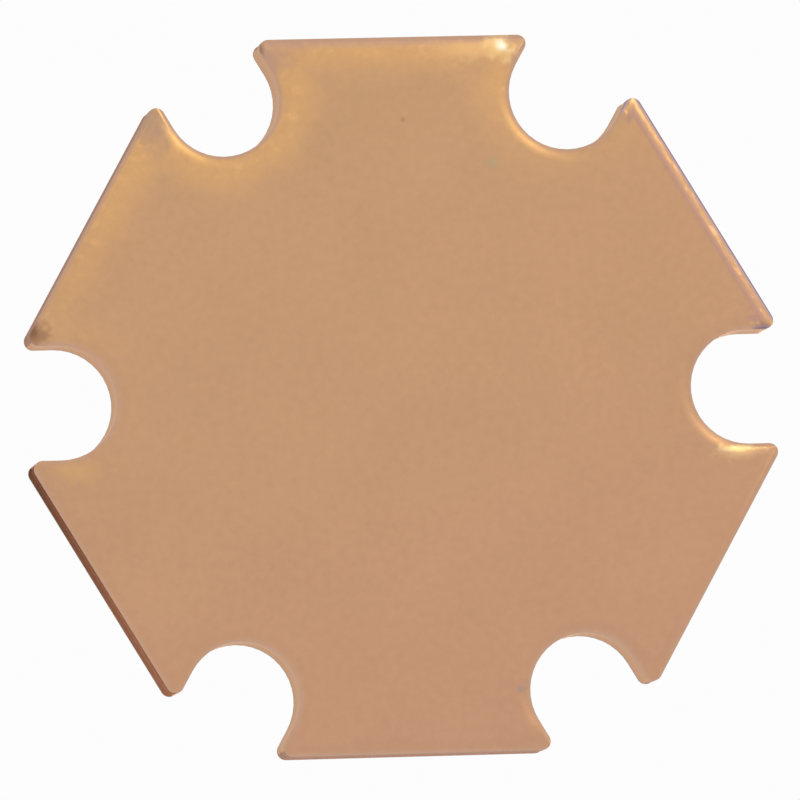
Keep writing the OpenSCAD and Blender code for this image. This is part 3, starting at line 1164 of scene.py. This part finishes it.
def aimed(name, lamp, direction):
    """Places a lamp in the scene so that it shines along a direction."""
    made = bpy.data.objects.new(name, lamp)
    made.rotation_mode = "QUATERNION"
    made.rotation_quaternion = Vector(direction).to_track_quat("-Z", "Y")
    bpy.context.scene.collection.objects.link(made)
    return made


def softbox(name, place, width, height, power, tone=(1.0, 1.0, 1.0)):
    """An area lamp that faces the middle of the back face."""
    lamp = bpy.data.lights.new(name, "AREA")
    lamp.shape = "RECTANGLE"
    lamp.size = width
    lamp.size_y = height
    lamp.energy = power
    lamp.color = tone
    aimed(name, lamp, -Vector(place)).location = place


class STARLED_OT_stage(bpy.types.Operator):
    """Set the floor, the light and the camera that looks up at the copper back"""

    bl_idname = "star_led.stage"
    bl_label = "Stage"

    def execute(self, context):
        scene = context.scene
        scene.view_settings.view_transform = "Standard"
        studio_world(scene)
        self.floor(scene)
        self.lamps()
        self.camera(scene)
        return {"FINISHED"}

    @staticmethod
    def floor(scene):
        """A wide pale sheet just under the part, which only the camera sees."""
        gap = 0.02 * MM
        bm = bmesh.new()
        bmesh.ops.create_grid(bm, x_segments=8, y_segments=8, size=2.0)
        bmesh.ops.translate(bm, vec=(0.0, 0.0, CAD_LOW.z - gap), verts=bm.verts[:])
        mesh = bpy.data.meshes.new("floor")
        bm.to_mesh(mesh)
        bm.free()
        mesh.materials.append(floor_finish())
        sheet = bpy.data.objects.new("floor", mesh)
        scene.collection.objects.link(sheet)
        sheet.visible_diffuse = False
        sheet.visible_glossy = False
        sheet.visible_transmission = False
        sheet.visible_shadow = False

    @staticmethod
    def lamps():
        """A warm strip under the part, and a softbox and a broad sun above it."""
        warm = studio().strip_warm
        softbox("rim_strip", (0.091, -0.091, -0.153), width=0.06, height=0.02, power=0.024, tone=warm)
        softbox("top_box", (0.20, 0.16, 0.30), width=0.16, height=0.16, power=0.35)
        sun = bpy.data.lights.new("key", "SUN")
        sun.energy = 0.9
        sun.angle = math.radians(25)
        aimed("key", sun, (-0.5, 0.4, -1.0))

    @staticmethod
    def camera(scene):
        """A long lens below the part, leaning towards the side whose wall shows."""
        values = studio()
        tilt = values.view_tilt
        bearing = values.view_bearing
        lean = math.sin(tilt)
        back = Vector((lean * math.cos(bearing), lean * math.sin(bearing), -math.cos(tilt)))
        right = (-back).cross(Vector((0.0, -1.0, 0.0))).normalized()
        turned = Matrix.Rotation(values.view_roll, 3, back) @ right
        up = back.cross(turned)
        lens = bpy.data.cameras.new("camera")
        lens.sensor_width = SENSOR_WIDTH
        lens.lens = SENSOR_WIDTH * values.view_distance / values.view_width
        lens.clip_start = 0.01
        lens.clip_end = 10.0
        made = bpy.data.objects.new("camera", lens)
        axes = Matrix((turned, up, back)).transposed()
        place = Vector(values.view_aim) + back * values.view_distance
        made.matrix_world = Matrix.Translation(place) @ axes.to_4x4()
        scene.collection.objects.link(made)
        scene.camera = made


class STARLED_PT_panel(bpy.types.Panel):
    """Sidebar panel that lists the pieces and their values"""

    bl_idname = "STARLED_PT_panel"
    bl_label = "Star LED"
    bl_space_type = "VIEW_3D"
    bl_region_type = "UI"
    bl_category = "Star LED"

    def draw(self, context):
        column = self.layout.column()
        for operator in OPERATORS:
            column.operator(operator.bl_idname)
        for values in (sizes(), colours(), studio()):
            box = self.layout.box()
            for name in values.__annotations__:
                box.prop(values, name)


OPERATORS = (
    STARLED_OT_copper_plate,
    STARLED_OT_board_layers,
    STARLED_OT_wire_pads,
    STARLED_OT_polarity_marks,
    STARLED_OT_emitter_body,
    STARLED_OT_chip,
    STARLED_OT_dome,
    STARLED_OT_stage,
)
CLASSES = (StarLedSizes, StarLedColours, StarLedStudio, *OPERATORS, STARLED_PT_panel)


def register():
    """Adds the classes and the values on the scene."""
    for item in CLASSES:
        bpy.utils.register_class(item)
    bpy.types.Scene.star_led_sizes = PointerProperty(type=StarLedSizes)
    bpy.types.Scene.star_led_colours = PointerProperty(type=StarLedColours)
    bpy.types.Scene.star_led_studio = PointerProperty(type=StarLedStudio)


def unregister():
    """Removes the values and the classes."""
    del bpy.types.Scene.star_led_studio
    del bpy.types.Scene.star_led_colours
    del bpy.types.Scene.star_led_sizes
    for item in reversed(CLASSES):
        bpy.utils.unregister_class(item)


def main():
    """Builds every piece and the stage."""
    register()
    bpy.ops.star_led.copper_plate()
    bpy.ops.star_led.board_layers()
    bpy.ops.star_led.wire_pads()
    bpy.ops.star_led.polarity_marks()
    bpy.ops.star_led.emitter_body()
    bpy.ops.star_led.chip()
    bpy.ops.star_led.dome()
    bpy.ops.star_led.stage()


if __name__ == "__main__":
    main()
